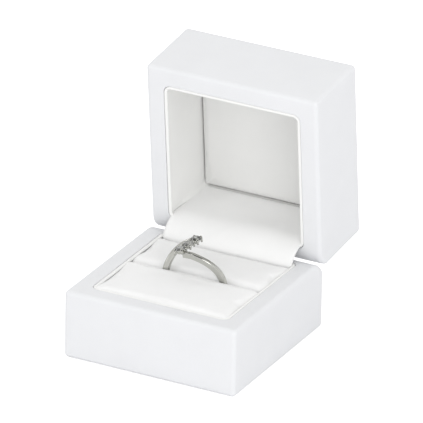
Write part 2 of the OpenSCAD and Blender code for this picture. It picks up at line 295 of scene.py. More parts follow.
def between(tree, value, low, high):
    """Maps a pattern of 0 to 1 on to a range."""
    return add_node(tree, "ShaderNodeMapRange", {"Value": value, "To Min": low, "To Max": high}).outputs["Result"]


def noise_at(tree, where, **inputs):
    """Noise pattern at a place."""
    return add_node(tree, "ShaderNodeTexNoise", {"Vector": where, **inputs}).outputs["Fac"]


def tinted(tree, colour, tone):
    """Colour made lighter or darker by a tone."""
    return add_node(tree, "ShaderNodeVectorMath", {0: colour, "Scale": tone}, operation="SCALE").outputs["Vector"]


def grain_group():
    """Fine pebbled grain of leatherette: a height and a slight change of tone."""
    name = "leatherette_grain"
    if name in bpy.data.node_groups:
        return bpy.data.node_groups[name]
    tree, taken = shader_group(
        name,
        [("Cells per metre", FLOAT, 1800), ("Colour", COLOUR, (0.8, 0.8, 0.8, 1))],
        [("Height", FLOAT), ("Toned", COLOUR), ("Roughness", FLOAT)],
    )
    where = add_node(tree, "ShaderNodeTexCoord").outputs["Object"]
    cells = add_node(tree, "ShaderNodeTexVoronoi", {"Vector": where, "Scale": taken["Cells per metre"]},
                     feature="DISTANCE_TO_EDGE")
    pebble = add_node(tree, "ShaderNodeMapRange", {"Value": cells.outputs["Distance"], "From Max": 0.22},
                      interpolation_type="SMOOTHSTEP")
    broad = noise_at(tree, where, Scale=90, Detail=3)
    height = add_node(tree, "ShaderNodeMath", {0: broad, 1: 0.6, 2: pebble.outputs["Result"]},
                      operation="MULTIPLY_ADD")
    add_node(tree, "NodeGroupOutput", {
        "Height": height.outputs[0],
        "Toned": tinted(tree, taken["Colour"], between(tree, broad, 0.965, 1.02)),
        "Roughness": between(tree, broad, 0.30, 0.42),
    })
    return tree


def pile_group():
    """Short velvet pile: brushed patches of tone over a fine fibre height."""
    name = "velvet_pile"
    if name in bpy.data.node_groups:
        return bpy.data.node_groups[name]
    tree, taken = shader_group(
        name,
        [("Colour", COLOUR, (0.8, 0.8, 0.8, 1)), ("Fibres per metre", FLOAT, 5200),
         ("Patches per metre", FLOAT, 120)],
        [("Toned", COLOUR), ("Height", FLOAT)],
    )
    where = add_node(tree, "ShaderNodeTexCoord").outputs["Object"]
    fibre = noise_at(tree, where, Scale=taken["Fibres per metre"], Detail=2)
    patch = noise_at(tree, where, Scale=taken["Patches per metre"], Detail=4, Roughness=0.6)
    tone = add_node(tree, "ShaderNodeMath", {
        0: between(tree, patch, 0.955, 1.03),
        1: between(tree, fibre, 0.97, 1.02),
    }, operation="MULTIPLY")
    add_node(tree, "NodeGroupOutput", {"Toned": tinted(tree, taken["Colour"], tone.outputs[0]), "Height": fibre})
    return tree


def polish_group():
    """Fine scratches and smudges of handled metal."""
    name = "handled_metal"
    if name in bpy.data.node_groups:
        return bpy.data.node_groups[name]
    tree, taken = shader_group(
        name,
        [("Lowest roughness", FLOAT, 0.05), ("Highest roughness", FLOAT, 0.15)],
        [("Roughness", FLOAT), ("Height", FLOAT)],
    )
    where = add_node(tree, "ShaderNodeTexCoord").outputs["Object"]
    stretched = add_node(tree, "ShaderNodeMapping", {"Vector": where, "Scale": (1, 9, 1)}).outputs["Vector"]
    smudge = noise_at(tree, where, Scale=300)
    add_node(tree, "NodeGroupOutput", {
        "Roughness": between(tree, smudge, taken["Lowest roughness"], taken["Highest roughness"]),
        "Height": noise_at(tree, stretched, Scale=1500, Detail=2),
    })
    return tree


def start_material(name, colour):
    """New material, its Principled shader and a way to link into it."""
    if name in {thing.name for thing in bpy.data.materials}:
        raise RuntimeError(name + " is already a material")
    material = bpy.data.materials.new(name)
    material.use_nodes = True
    shader = material.node_tree.nodes["Principled BSDF"]
    shader.inputs["Base Color"].default_value = (*colour, 1)
    MADE[name] = material
    return material, shader


def add_group(material, tree, **values):
    node = material.node_tree.nodes.new("ShaderNodeGroup")
    node.node_tree = tree
    for name, value in values.items():
        node.inputs[name.replace("_", " ")].default_value = value
    return node


def add_bump(material, height, shader, strength, distance):
    bump = material.node_tree.nodes.new("ShaderNodeBump")
    bump.inputs["Strength"].default_value = strength
    bump.inputs["Distance"].default_value = distance * MM
    material.node_tree.links.new(height, bump.inputs["Height"])
    material.node_tree.links.new(bump.outputs["Normal"], shader.inputs["Normal"])


def leatherette(name, colour, cells=1900.0):
    if name in MADE:
        return MADE[name]
    material, shader = start_material(name, colour)
    grain = add_group(material, grain_group(), Cells_per_metre=cells, Colour=(*colour, 1))
    links = material.node_tree.links
    links.new(grain.outputs["Toned"], shader.inputs["Base Color"])
    links.new(grain.outputs["Roughness"], shader.inputs["Roughness"])
    shader.inputs["Coat Weight"].default_value = 0.05
    shader.inputs["Coat Roughness"].default_value = 0.3
    shader.inputs["Specular IOR Level"].default_value = 0.35
    add_bump(material, grain.outputs["Height"], shader, 0.22, 0.05)
    return material


def velvet(name, colour, fibres=5200.0, patches=120.0, sheen=0.35):
    if name in MADE:
        return MADE[name]
    material, shader = start_material(name, colour)
    pile = add_group(material, pile_group(), Colour=(*colour, 1), Fibres_per_metre=fibres,
                     Patches_per_metre=patches)
    links = material.node_tree.links
    links.new(pile.outputs["Toned"], shader.inputs["Base Color"])
    shader.inputs["Roughness"].default_value = 0.9
    shader.inputs["Specular IOR Level"].default_value = 0.2
    shader.inputs["Sheen Weight"].default_value = sheen
    shader.inputs["Sheen Roughness"].default_value = 0.4
    add_bump(material, pile.outputs["Height"], shader, 0.3, 0.08)
    return material


def metal(name, colour, lowest, highest, scratch=0.05):
    if name in MADE:
        return MADE[name]
    material, shader = start_material(name, colour)
    polish = add_group(material, polish_group(), Lowest_roughness=lowest, Highest_roughness=highest)
    shader.inputs["Metallic"].default_value = 1
    material.node_tree.links.new(polish.outputs["Roughness"], shader.inputs["Roughness"])
    add_bump(material, polish.outputs["Height"], shader, scratch, 0.01)
    return material


def ring_metal(ring):
    return metal("polished_white_gold", tuple(ring.metal), 0.06, 0.16)


def card(name, colour):
    if name in MADE:
        return MADE[name]
    material, shader = start_material(name, colour)
    pile = add_group(material, pile_group(), Colour=(*colour, 1), Fibres_per_metre=2600.0,
                     Patches_per_metre=400.0)
    material.node_tree.links.new(pile.outputs["Toned"], shader.inputs["Base Color"])
    shader.inputs["Roughness"].default_value = 0.8
    add_bump(material, pile.outputs["Height"], shader, 0.15, 0.05)
    return material


def brilliant(name):
    if name in MADE:
        return MADE[name]
    material, shader = start_material(name, (0.98, 0.99, 1.0))
    shader.inputs["Roughness"].default_value = 0.0
    shader.inputs["IOR"].default_value = 2.42
    shader.inputs["Transmission Weight"].default_value = 1
    return material


# ---- Coverings ----

def drop(reach, radius):
    """How far a rounded edge has fallen, a given way in from its outline."""
    reach = min(max(reach, 0), radius)
    return radius - math.sqrt(max(radius * radius - (radius - reach) ** 2, 0))


def covering_loops(shell, height, whole_end):
    """Loops from the closed end, up the outside, over the rim and down inside."""
    wall, edge, back = shell.wall / MM, shell.edge / MM, shell.hinge_edge / MM
    lip, turn_in, turn_under = 0.18, 5, 6
    steps = 9

    def level(inset, rim_radius, z):
        return [(x, y, z) for x, y in outline(HALF_W - inset, HALF_D - inset, rim_radius)]

    def rim(inset, rim_radius, extra=0.0):
        loop = []
        for x, y in outline(HALF_W - inset, HALF_D - inset, rim_radius):
            fall = drop(inset, edge)
            if y > 0:
                fall = drop(HALF_W - abs(x), edge) + drop(HALF_D - y, back)
            loop.append((x, y, height - fall - extra))
        return loop

    loops = []
    if whole_end:
        loops.append(level(HALF_W - 1, 0.9, 0))
        loops.append(level(HALF_W / 2, 2, 0))
    else:
        loops.append(level(turn_under, edge, WRAP_T))
        loops.append(level(turn_under, edge, 0))
    for step in range(steps + 1):
        angle = math.pi / 2 * (1 - step / steps)
        inset = edge * (1 - math.cos(angle))
        loops.append(level(inset, max(edge - inset, 0.05), edge * (1 - math.sin(angle))))
    shoulder = rim(0, edge)
    for share in (0.25, 0.5, 0.75):
        loops.append([(x, y, edge + (z - edge) * share) for x, y, z in shoulder])
    for step in range(steps + 1):
        inset = edge * (1 - math.cos(math.pi / 2 * step / steps))
        loops.append(rim(inset, max(edge - inset, 0.15)))
    flat = wall - lip
    for share in (0.2, 0.4, 0.6, 0.8, 1):
        inset = edge + (flat - edge) * share
        loops.append(rim(inset, 0.15 + (OPENING_R + lip - 0.15) * share))
    for step in range(1, 6):
        angle = math.pi / 2 * step / 5
        inset = flat + lip * math.sin(angle)
        loops.append(rim(inset, OPENING_R + lip - lip * math.sin(angle), lip * (1 - math.cos(angle))))
    loops.append(rim(wall, OPENING_R, turn_in))
    return loops


def make_covering(name, shell, height, place, whole_end):
    loops = covering_loops(shell, height, whole_end)
    verts, faces = loft(loops)
    if whole_end:
        faces.append(tuple(range(len(loops[0]))))
    piece = new_piece(name, verts, faces, leatherette("pebbled_leatherette", tuple(shell.colour)), place)
    return thicken(piece, WRAP_T - 0.05)


class GIFTBOX_OT_coverings(bpy.types.Operator):
    """Leatherette over the base and the lid, rolled over both rims and cut for the hinge"""
    bl_idname = "giftbox.coverings"
    bl_label = "Leatherette coverings"

    def execute(self, context):
        shell = context.scene.gift_box_shell
        base = make_covering("base_covering", shell, BASE_H, None, False)
        inside = LINER_HALF - 1
        carve(base, Vector((-POCKET_HALF, inside, PIN.z - POCKET_DROP)), Vector((POCKET_HALF, 60, 60)))
        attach(base, "base")
        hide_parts("base_wrap")
        lid = make_covering("lid_covering", shell, LID_H, lid_place(), True)
        shut_top = PIN.z + POCKET_DROP
        own_cut = BASE_H + RIM_GAP + LID_H - shut_top
        carve(lid, Vector((-POCKET_HALF, inside, own_cut)), Vector((POCKET_HALF, 60, 60)), lid_place())
        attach(lid, "lid")
        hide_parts("lid_wrap")
        return {"FINISHED"}


# ---- Linings ----

def lining_loops(floor, height):
    """Section of the lining card, inside and out, taken round the opening."""
    section = [(LINER_HALF, floor), (LINER_HALF, height - BEAD_R)]
    section += [(INNER_HALF, height - BEAD_R), (INNER_HALF, (height + floor) / 2), (INNER_HALF, floor)]
    return [
        [(x, y, z) for x, y in outline(half, half, OPENING_R - 0.1 - (LINER_HALF - half), side_steps=14)]
        for half, z in section
    ]


def growing_tree(name, inputs):
    """Empty geometry node tree that takes a mesh, sizes and a material, and what it takes in."""
    tree = bpy.data.node_groups.new(name, "GeometryNodeTree")
    tree.is_modifier = True
    tree.interface.new_socket(name="Geometry", in_out="INPUT", socket_type="NodeSocketGeometry")
    for label, kind, default in inputs:
        socket_in(tree, label, kind, default)
    tree.interface.new_socket(name="Material", in_out="INPUT", socket_type="NodeSocketMaterial")
    tree.interface.new_socket(name="Geometry", in_out="OUTPUT", socket_type="NodeSocketGeometry")
    return tree, add_node(tree, "NodeGroupInput").outputs


def end_tree(tree, taken, geometry):
    """Ends a tree in one smooth mesh with its material."""
    smooth = add_node(tree, "GeometryNodeSetShadeSmooth", {"Geometry": geometry})
    solid = add_node(tree, "GeometryNodeRealizeInstances", {"Geometry": smooth.outputs["Geometry"]})
    paint = add_node(tree, "GeometryNodeSetMaterial",
                     {"Geometry": solid.outputs["Geometry"], "Material": taken["Material"]})
    add_node(tree, "NodeGroupOutput", {"Geometry": paint.outputs["Geometry"]})
    return tree


def bead_tree():
    """Geometry nodes that roll a cloth edge along a path."""
    tree, taken = growing_tree("rolled_edge", [("Radius", FLOAT, BEAD_R * MM), ("Unevenness", FLOAT, 0.12)])
    path = add_node(tree, "GeometryNodeMeshToCurve", {"Mesh": taken["Geometry"]})
    wander = add_node(tree, "ShaderNodeTexNoise", {"Scale": 160}).outputs["Fac"]
    least = add_node(tree, "ShaderNodeMath", {0: 1, 1: taken["Unevenness"]}, operation="SUBTRACT").outputs[0]
    radius = add_node(tree, "GeometryNodeSetCurveRadius",
                      {"Curve": path.outputs["Curve"], "Radius": between(tree, wander, least, 1)})
    ring = add_node(tree, "GeometryNodeCurvePrimitiveCircle", {"Resolution": 14, "Radius": taken["Radius"]})
    sweep = add_node(tree, "GeometryNodeCurveToMesh",
                     {"Curve": radius.outputs["Curve"], "Profile Curve": ring.outputs["Curve"]})
    if "Scale" in sweep.inputs:
        tree.links.new(add_node(tree, "GeometryNodeInputRadius").outputs["Radius"], sweep.inputs["Scale"])
    return end_tree(tree, taken, sweep.outputs["Mesh"])


def socket_id(tree, name):
    """Identifier of a group's input, which a modifier is set by."""
    return next(item.identifier for item in tree.interface.items_tree
                if item.item_type == "SOCKET" and item.in_out == "INPUT" and item.name == name)


def grow(piece, tree, **values):
    """Runs a geometry node tree on a piece and keeps the plain mesh."""
    modifier = piece.modifiers.new(tree.name, "NODES")
    modifier.node_group = tree
    for name, value in values.items():
        modifier[socket_id(tree, name.replace("_", " "))] = value
    return settle(piece)


def make_bead(name, height, place, material, tree):
    """Rolled cloth edge at the rim of a lining."""
    half = LINER_HALF - BEAD_R + 0.06
    points = outline(half, half, OPENING_R - BEAD_R, corner_steps=10, side_steps=40)
    mesh = bpy.data.meshes.new(name)
    verts = [((place or Matrix()) @ Vector((x, y, height - BEAD_R + 0.05))) * MM for x, y in points]
    mesh.from_pydata(verts, [(k, (k + 1) % len(verts)) for k in range(len(verts))], [])
    piece = bpy.data.objects.new(name, mesh)
    bpy.context.scene.collection.objects.link(piece)
    grow(piece, tree, Radius=BEAD_R * MM, Unevenness=0.12, Material=material)
    return piece


class GIFTBOX_OT_linings(bpy.types.Operator):
    """Cloth-covered lining walls of the base and the lid, with their rolled edges"""
    bl_idname = "giftbox.linings"
    bl_label = "Linings"

    def execute(self, context):
        cloth = velvet("lining_velvet", tuple(context.scene.gift_box_shell.lining), fibres=6000.0, patches=70.0)
        tree = bead_tree()
        for body, height, place in (("base", BASE_H, None), ("lid", LID_H, lid_place())):
            verts, faces = loft(lining_loops(FLOOR_Z, height), closed=True)
            walls = new_piece(body + "_lining", verts, faces, cloth, place)
            walls.data.set_sharp_from_angle(angle=math.radians(50))
            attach(walls, body)
            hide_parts(body + "_liner")
            bead = make_bead(body + "_lining_edge", height, place, cloth, tree)
            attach(bead, body)
        return {"FINISHED"}


# ---- Padded pieces ----

# The cloth is simulated this many times its size, where the solver is steadier
SIM_SCALE = 12.0
SLOT_CROWN = 1.2
SHANK_ROOM = 1.12


def block_mesh(low, high, radius):
    """Rounded block between two corners, as a bmesh in millimetres."""
    work = bmesh.new()
    bmesh.ops.create_cube(work, size=1)
    bmesh.ops.scale(work, vec=high - low, verts=work.verts)
    bmesh.ops.translate(work, vec=(low + high) / 2, verts=work.verts)
    bmesh.ops.bevel(work, geom=list(work.edges), offset=radius, segments=5, profile=0.5, affect="EDGES")
    return work


def inflate(name, work, voxel, cap, held_below, pressure=4.0):
    """Remeshes a block and lets cloth swell over its filling, its underside held."""
    bmesh.ops.scale(work, vec=(MM * SIM_SCALE,) * 3, verts=work.verts)
    mesh = bpy.data.meshes.new(name)
    work.to_mesh(mesh)
    work.free()
    piece = bpy.data.objects.new(name, mesh)
    bpy.context.scene.collection.objects.link(piece)
    remesh = piece.modifiers.new("remesh", "REMESH")
    remesh.mode = "VOXEL"
    remesh.voxel_size = voxel * MM * SIM_SCALE
    remesh.use_smooth_shade = True
    settle(piece)
    start = [v.co.copy() for v in piece.data.vertices]
    held = piece.vertex_groups.new(name="held")
    low = held_below * MM * SIM_SCALE
    held.add([i for i, co in enumerate(start) if co.z < low], 1.0, "REPLACE")
    cloth = piece.modifiers.new("cloth", "CLOTH")
    options = cloth.settings
    options.quality = 6
    options.mass = 0.3
    options.tension_stiffness = 12
    options.compression_stiffness = 12
    options.shear_stiffness = 6
    options.bending_stiffness = 1.5
    options.use_pressure = True
    options.uniform_pressure_force = pressure
    options.vertex_group_mass = "held"
    options.effector_weights.gravity = 0
    cloth.collision_settings.use_collision = False
    cloth.point_cache.frame_start = 1
    cloth.point_cache.frame_end = 20
    for step in range(1, 21):
        bpy.context.scene.frame_set(step)
    settle(piece)
    bpy.context.scene.frame_set(1)
    most = cap * MM * SIM_SCALE
    for vertex, origin in zip(piece.data.vertices, start):
        move = vertex.co - origin
        if move.length > most:
            move *= most / move.length
        vertex.co = (origin + move) / (MM * SIM_SCALE)
    return piece


def smooth_step(low, high, value):
    t = min(max((value - low) / (high - low), 0), 1)
    return t * t * (3 - 2 * t)


def slot_half(x, pads):
    """Half the slot's width at a place across the box, wider where the shank comes through."""
    free = pads.slot / MM / 2
    across = abs(x)
    opened = smooth_step(2.6, 4.6, across) * (1 - smooth_step(11.0, 12.6, across))
    return free + (SHANK_ROOM - free) * opened + 1.1 * smooth_step(18.2, 21.6, across)


def finish_pad(piece, shape, material):
    """Puts each point through a shaping rule, in millimetres, and rounds the mesh off."""
    for vertex in piece.data.vertices:
        vertex.co = shape(Vector(vertex.co)) * MM
    finer = piece.modifiers.new("finer", "SUBSURF")
    finer.levels = 1
    finer.render_levels = 1
    settle(piece)
    piece.data.materials.clear()
    piece.data.materials.append(material)
    for face in piece.data.polygons:
        face.use_smooth = True
    return piece


class GIFTBOX_OT_pads(bpy.types.Operator):
    """Two velvet pads over foam, with the slot that grips the ring"""
    bl_idname = "giftbox.pads"
    bl_label = "Ring pads"

    def execute(self, context):
        pads = context.scene.gift_box_pads
        cloth = velvet("pad_velvet", tuple(pads.colour), fibres=5200.0, patches=110.0)
        top = BASE_H + pads.crown / MM
        side = INNER_HALF - 0.05
        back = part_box("rear_pad")[1][1] / MM
        for name, node, y0, y1, radius, roll in (
            ("front_velvet_pad", "front_pad", -INNER_HALF + 0.05, 0, 0.9, 0.0),
            ("rear_velvet_pad", "rear_pad", 0, back, 1.1, 1.1),
        ):
            low = Vector((-side - 0.7, y0 - 0.5 * (y0 < 0), STAGE_TOP + 0.1))
            high = Vector((side + 0.7, y1 + 0.5, top - 0.45))
            piece = inflate(name, block_mesh(low, high, radius), 0.8, pads.swell / MM, STAGE_TOP + 1.2)
            facing = -1 if roll == 0 else 1

            def shape(co, facing=facing, y0=y0, y1=y1, roll=roll):
                upper = smooth_step(top - 6, top - 0.5, co.z)
                bow = 1 - (co.x / side) ** 2
                near_slot = 1 - smooth_step(0, 5, abs(co.y))
                co.z += upper * (0.45 * bow * (1 - near_slot * roll / 2) - roll * near_slot)
                if roll == 0:
                    co.z += upper * SLOT_CROWN * bow * near_slot
                co.z = min(co.z, top - 0.3 + 0.45 * max(co.z - top + 0.3, 0))
                co.x = min(max(co.x, -side), side)
                co.y = min(max(co.y, y0), y1)
                room = slot_half(co.x, pads)
                if facing * co.y < room:
                    co.y = facing * room
                co.z = max(co.z, STAGE_TOP + 0.05)
                return co

            finish_pad(piece, shape, cloth)
            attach(piece, "base")
            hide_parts(node)
        return {"FINISHED"}


class GIFTBOX_OT_lid_padding(bpy.types.Operator):
    """Thin padded panel at the back of the lid"""
    bl_idname = "giftbox.lid_padding"
    bl_label = "Lid padding"

    def execute(self, context):
        # Painted shade: the panel's cloth is the lining colour darkened to 0.92, standing in for the shade deep
        # inside the lid.
        colour = tuple(0.92 * c for c in context.scene.gift_box_shell.lining)
        cloth = velvet("panel_velvet", colour, fibres=6000.0, patches=60.0)
        half = INNER_HALF - 0.06
        ground = FLOOR_Z + PANEL_CARD_T
        low = Vector((-half, -half, ground + 0.02))
        high = Vector((half, half, ground + PANEL_PAD_T - 0.25))
        piece = inflate("lid_padding", block_mesh(low, high, 0.45), 0.55, 0.45, ground + 0.25, pressure=2.5)
        place = lid_place()

        def shape(co):
            co.x = min(max(co.x, -half), half)
            co.y = min(max(co.y, -half), half)
            co.z = max(co.z, ground + 0.02)
            return place @ co

        finish_pad(piece, shape, cloth)
        work = bmesh.new()
        work.from_mesh(piece.data)
        bmesh.ops.recalc_face_normals(work, faces=work.faces)
        work.to_mesh(piece.data)
        work.free()
        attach(piece, "lid")
        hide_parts("lid_panel_pad")
        return {"FINISHED"}


# ---- Hinge strip ----

STRIP_PATH = [(20.3, 11.5), (20.1, 17.5), (19.9, 20.2), (20.9, 22.2), (23.0, 24.1), (25.8, 25.6),
              (29.0, 26.35), (33.0, 26.3), (37.5, 26.2), (42.0, 26.4), (47.0, 26.75)]
STRIP_HALF = 21.25
STRIP_COLOUR = (0.92, 0.92, 0.915)


def along(path, share):
    """Point on a smooth curve through a path's points."""
    place = share * (len(path) - 1)
    i = min(int(place), len(path) - 2)
    t = place - i
    p0, p1, p2, p3 = (Vector(path[min(max(k, 0), len(path) - 1)]) for k in (i - 1, i, i + 1, i + 2))
    return 0.5 * ((2 * p1) + (p2 - p0) * t + (2 * p0 - 5 * p1 + 4 * p2 - p3) * t * t
                  + (3 * p1 - p0 - 3 * p2 + p3) * t ** 3)


class GIFTBOX_OT_hinge_strip(bpy.types.Operator):
    """Soft cloth strip over the hinge, from behind the rear pad up into the lid"""
    bl_idname = "giftbox.hinge_strip"
    bl_label = "Hinge strip"

    def execute(self, context):
        cloth = velvet("strip_velvet", STRIP_COLOUR, fibres=5200.0, patches=90.0)
        rows, columns = 56, 60
        verts, faces = [], []
        for i in range(rows + 1):
            share = i / rows
            y, z = along(STRIP_PATH, share)
            for j in range(columns + 1):
                across = 2 * j / columns - 1
                x = across * (STRIP_HALF + 0.25 * smooth_step(0.4, 0.6, share))
                loose = smooth_step(0.25, 0.5, share) * (1 - smooth_step(0.75, 1, share))
                wave = noise.noise(Vector((x * 0.09, share * 2.2, 3.7))) * 0.55 * loose
                edge = abs(across) ** 4
                verts.append(Vector((x, y - 1.0 * edge * loose + wave * 0.6, z + wave - 0.35 * edge * loose)))
        for i in range(rows):
            for j in range(columns):
                a = i * (columns + 1) + j
                faces.append((a, a + 1, a + columns + 2, a + columns + 1))
        piece = new_piece("hinge_cloth_strip", verts, faces, cloth)
        thicken(piece, 0.35)
        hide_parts("hinge_strip")
        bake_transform(piece)
        return {"FINISHED"}


# ---- Ring ----

REAR_REACH = 168
FRONT_REACH = 192
# Turns between which an end leaves the ring's plane, and how far it then rises and moves aside
SPREAD = (97, 172)
FRONT_END = (0.2, -3.4)
REAR_END = (1.6, 3.8)
SQUARENESS = 4.5


def shank_point(turn, around, ring):
    """Point of the shank's surface, turn degrees from the ring's lowest point."""
    moved = smooth_step(*SPREAD, abs(turn))
    rise, shift = (part * moved for part in (FRONT_END if turn > 0 else REAR_END))
    narrow = 1 - 0.4 * (abs(turn) / FRONT_REACH) ** 3
    c, s = math.cos(around), math.sin(around)
    corner = (abs(c) ** SQUARENESS + abs(s) ** SQUARENESS) ** (-1 / SQUARENESS)
    out = RING_R - ring.thickness / MM / 2 * (1 - c * corner) + rise
    angle = math.radians(turn)
    y = s * corner * ring.width / MM / 2 * narrow + shift
    return Vector((out * math.sin(angle), y, RING_Z - out * math.cos(angle)))


class GIFTBOX_OT_ring_shank(bpy.types.Operator):
    """Bypass shank of the ring, whose two ends pass each other beside the stones"""
    bl_idname = "giftbox.ring_shank"
    bl_label = "Ring shank"

    def execute(self, context):
        ring = context.scene.gift_box_ring
        gold = ring_metal(ring)
        rings, sides = 180, 40
        loops = []
        for i in range(rings + 1):
            turn = -REAR_REACH + (REAR_REACH + FRONT_REACH) * i / rings
            loops.append([shank_point(turn, 2 * math.pi * k / sides, ring) for k in range(sides)])
        verts, faces = loft(loops)
        faces.append(tuple(range(sides)))
        faces.append(tuple(rings * sides + k for k in range(sides)))
        piece = new_piece("ring_band", verts, faces, gold)
        piece.data.set_sharp_from_angle(angle=math.radians(55))
        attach(piece, "ring")
        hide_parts("ring_shank")
        return {"FINISHED"}


def seat_place(seat):
    """Matrix that stands a stone or collet on its seat, in millimetres."""
    lean = math.atan2(seat.x, seat.z)
    return Matrix.Translation((seat.x, seat.y, RING_Z + seat.z)) @ Matrix.Rotation(lean, 4, "Y")


def brilliant_cut(radius):
    """Vertices and facets of a round brilliant, girdle at height nought."""
    def circle(r, z, count, offset=0.0):
        angles = [math.tau * (k + offset) / count for k in range(count)]
        return [Vector((r * math.cos(a), r * math.sin(a), z)) for a in angles]
    table = circle(0.56 * radius, 0.33 * radius, 8)
    star = circle(0.8 * radius, 0.2 * radius, 8, 0.5)
    upper = circle(radius, 0.03 * radius, 16)
    lower = circle(radius, -0.02 * radius, 16)
    belly = circle(0.28 * radius, -0.64 * radius, 8, 0.5)
    verts = table + star + upper + lower + belly + [Vector((0, 0, -0.86 * radius))]
    t, s, u, w, b, tip = 0, 8, 16, 32, 48, 56
    faces = [tuple(range(8))]
    for k in range(8):
        n, p = (k + 1) % 8, (k - 1) % 8
        faces.append((t + k, t + n, s + k))
        faces.append((t + k, s + k, u + 2 * k, s + p))
        faces.append((s + k, u + 2 * k, u + 2 * k + 1))
        faces.append((s + k, u + 2 * k + 1, u + 2 * n))
        faces.append((b + k, w + 2 * k, w + 2 * k + 1))
        faces.append((b + k, w + 2 * k + 1, w + 2 * n))
        faces.append((tip, b + p, w + 2 * k, b + k))
    for k in range(16):
        n = (k + 1) % 16
        faces.append((u + k, u + n, w + n, w + k))
    return verts, faces


class GIFTBOX_OT_stones(bpy.types.Operator):
    """Three round brilliants, the open collets under them and the rail that joins them"""
    bl_idname = "giftbox.stones"
    bl_label = "Stones and collets"

    def execute(self, context):
        ring = context.scene.gift_box_ring
        radius = ring.stone / MM
        verts, faces = [], []
        for seat in SEATS:
            own, facets = brilliant_cut(radius)
            add_part(verts, faces, [seat_place(seat) @ v for v in own], facets)
        stones = new_piece("ring_brilliants", verts, faces, brilliant("cut_stone"))
        for face in stones.data.polygons:
            face.use_smooth = False
        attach(stones, "ring")
        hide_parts("ring_stones")

        gold = ring_metal(ring)
        verts, faces = [], []
        section = [(0.55, -1.45), (0.8, -1.45), (1.12, -0.8), (radius + 0.1, -0.15), (radius + 0.1, -0.02),
                   (radius - 0.06, -0.05), (radius - 0.2, -0.25), (0.75, -0.95)]
        for seat in SEATS:
            loops = [[seat_place(seat) @ Vector((r * math.cos(a), r * math.sin(a), z))
                      for a in (math.tau * k / 32 for k in range(32))] for r, z in section]
            add_part(verts, faces, *loft(loops, closed=True))
        sides = 24
        circle = [RAIL_R * Vector((math.cos(a), 0, math.sin(a)))
                  for a in (math.tau * k / sides for k in range(sides))]
        under = Vector((0, 0, RING_Z - RAIL_DROP))
        own, quads = loft([[seat + under + point for point in circle] for seat in SEATS])
        quads += [tuple(range(sides)), tuple(range(2 * sides, 3 * sides))]
        add_part(verts, faces, own, quads)
        collets = new_piece("ring_collets", verts, faces, gold, merge=1e-5)
        collets.data.set_sharp_from_angle(angle=math.radians(40))
        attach(collets, "ring")
        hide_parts("ring_settings")
        return {"FINISHED"}


def prong_tree():
    """Geometry nodes that stand prongs round every stone's seat."""
    tree, taken = growing_tree("stone_prongs", [
        ("Prongs", "NodeSocketInt", 4), ("Seat radius", FLOAT, 1.7 * MM),
        ("Prong radius", FLOAT, 0.3 * MM), ("Prong height", FLOAT, 1.5 * MM),
    ])

    def times(value, factor):
        return add_node(tree, "ShaderNodeMath", {0: value, 1: factor}, operation="MULTIPLY").outputs[0]

    post = add_node(tree, "GeometryNodeMeshCylinder",
                    {"Vertices": 12, "Radius": taken["Prong radius"], "Depth": taken["Prong height"]})
    down = add_node(tree, "ShaderNodeCombineXYZ", {"Z": times(taken["Prong height"], -0.4)})
    sunk = add_node(tree, "GeometryNodeTransform",
                    {"Geometry": post.outputs["Mesh"], "Translation": down.outputs[0]})
    tip = add_node(tree, "GeometryNodeMeshUVSphere",
                   {"Segments": 12, "Rings": 8, "Radius": times(taken["Prong radius"], 1.25)})
    raised = add_node(tree, "GeometryNodeTransform",
                      {"Geometry": tip.outputs["Mesh"], "Translation": (-0.12 * MM, 0, 0.2 * MM)})
    prong = add_node(tree, "GeometryNodeJoinGeometry", {"Geometry": sunk.outputs["Geometry"]})
    tree.links.new(raised.outputs["Geometry"], prong.inputs["Geometry"])
    circle = add_node(tree, "GeometryNodeMeshCircle", {"Vertices": taken["Prongs"], "Radius": taken["Seat radius"]})
    place = add_node(tree, "GeometryNodeInputPosition").outputs["Position"]
    face_out = add_node(tree, "FunctionNodeAlignEulerToVector", {"Vector": place}, axis="X", pivot_axis="Z")
    crown = add_node(tree, "GeometryNodeInstanceOnPoints", {
        "Points": circle.outputs["Mesh"],
        "Instance": prong.outputs["Geometry"],
        "Rotation": face_out.outputs["Rotation"],
    })
    lean = add_node(tree, "GeometryNodeInputNamedAttribute", {"Name": "lean"}, data_type="FLOAT_VECTOR")
    heads = add_node(tree, "GeometryNodeInstanceOnPoints", {
        "Points": taken["Geometry"],
        "Instance": crown.outputs["Instances"],
        "Rotation": lean.outputs["Attribute"],
    })
    return end_tree(tree, taken, heads.outputs["Instances"])


class GIFTBOX_OT_prongs(bpy.types.Operator):
    """Prongs round the stones"""
    bl_idname = "giftbox.prongs"
    bl_label = "Prongs"

    def execute(self, context):
        ring = context.scene.gift_box_ring
        gold = ring_metal(ring)
        mesh = bpy.data.meshes.new("ring_prongs")
        places = [seat_place(seat) for seat in SEATS]
        mesh.from_pydata([p.translation * MM for p in places], [], [])
        lean = mesh.attributes.new("lean", "FLOAT_VECTOR", "POINT")
        for entry, place in zip(lean.data, places):
            turned = place.to_3x3() @ Matrix.Rotation(math.radians(45), 3, "Z")
            entry.vector = turned.to_euler()
        piece = bpy.data.objects.new("ring_prongs", mesh)
        context.scene.collection.objects.link(piece)
        grow(piece, prong_tree(), Prongs=ring.prongs, Seat_radius=ring.stone - 0.02 * MM,
             Prong_radius=0.3 * MM, Prong_height=1.5 * MM, Material=gold)
        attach(piece, "ring")
        return {"FINISHED"}


# ---- CAD parts that stay ----

